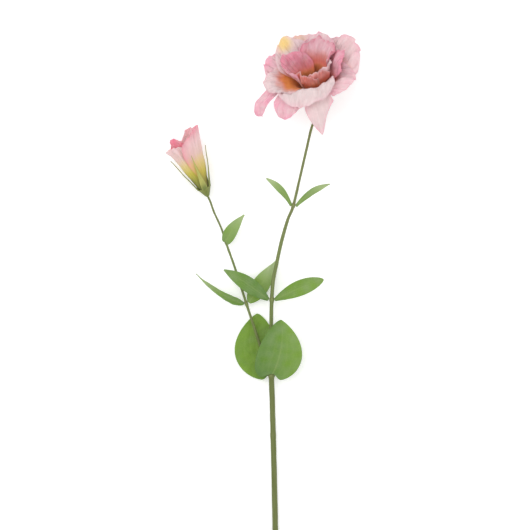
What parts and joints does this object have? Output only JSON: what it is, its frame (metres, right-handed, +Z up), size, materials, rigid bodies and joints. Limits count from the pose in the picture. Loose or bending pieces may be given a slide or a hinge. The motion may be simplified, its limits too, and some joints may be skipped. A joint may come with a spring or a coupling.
{
  "type": "lisianthus flower",
  "caption": "Cut lisianthus stem lying down, with an open double flower, a half-open bud on a side stem and paired leaves.",
  "frame": {"origin": "bottom centre of the bounding box, on the surface that the stem lies on", "axes": "+Y along the stem from the cut end to the open flower, +Z up from the surface, +X to the flower's right seen from above"},
  "size_m": [0.1542, 0.4624, 0.0553],
  "materials": {
    "stem": "smooth olive-green living stem, satin",
    "leaf": "veined green leaf, satin with a pale bloom",
    "sepal": "olive-green calyx, satin",
    "petal": "thin matt petal, white flushed with pink at the rims",
    "bud_petal": "thin matt petal, yellow-green at the foot to pink at the rim",
    "throat": "matt yellow-green stigma and anthers"
  },
  "bodies": {
    "root": {"bud_inner_petal_1": "bud_petal", "bud_inner_petal_2": "bud_petal", "bud_petal_1": "bud_petal", "bud_petal_2": "bud_petal", "bud_petal_3": "bud_petal", "bud_receptacle": "sepal", "bud_sepal_1": "sepal", "bud_sepal_2": "sepal", "bud_sepal_3": "sepal", "bud_sepal_4": "sepal", "bud_sepal_5": "sepal", "bud_stem": "stem", "flower_receptacle": "sepal", "flower_sepal_1": "sepal", "flower_sepal_2": "sepal", "flower_sepal_3": "sepal", "flower_sepal_4": "sepal", "flower_sepal_5": "sepal", "inner_petal_1": "petal", "inner_petal_2": "petal", "inner_petal_3": "petal", "inner_petal_4": "petal", "inner_petal_5": "petal", "leaf_1": "leaf", "leaf_2": "leaf", "leaf_3": "leaf", "leaf_4": "leaf", "leaf_5": "leaf", "leaf_6": "leaf", "leaf_7": "leaf", "leaf_8": "leaf", "leaf_9": "leaf", "main_stem": "stem", "middle_petal_1": "petal", "middle_petal_2": "petal", "middle_petal_3": "petal", "middle_petal_4": "petal", "middle_petal_5": "petal", "outer_petal_1": "petal", "outer_petal_2": "petal", "outer_petal_3": "petal", "outer_petal_4": "petal", "outer_petal_5": "petal", "outer_petal_6": "petal", "outer_petal_7": "petal", "pistil": "throat", "stamen_1": "throat", "stamen_2": "throat", "stamen_3": "throat", "stamen_4": "throat", "stamen_5": "throat"}
  },
  "joints": []
}
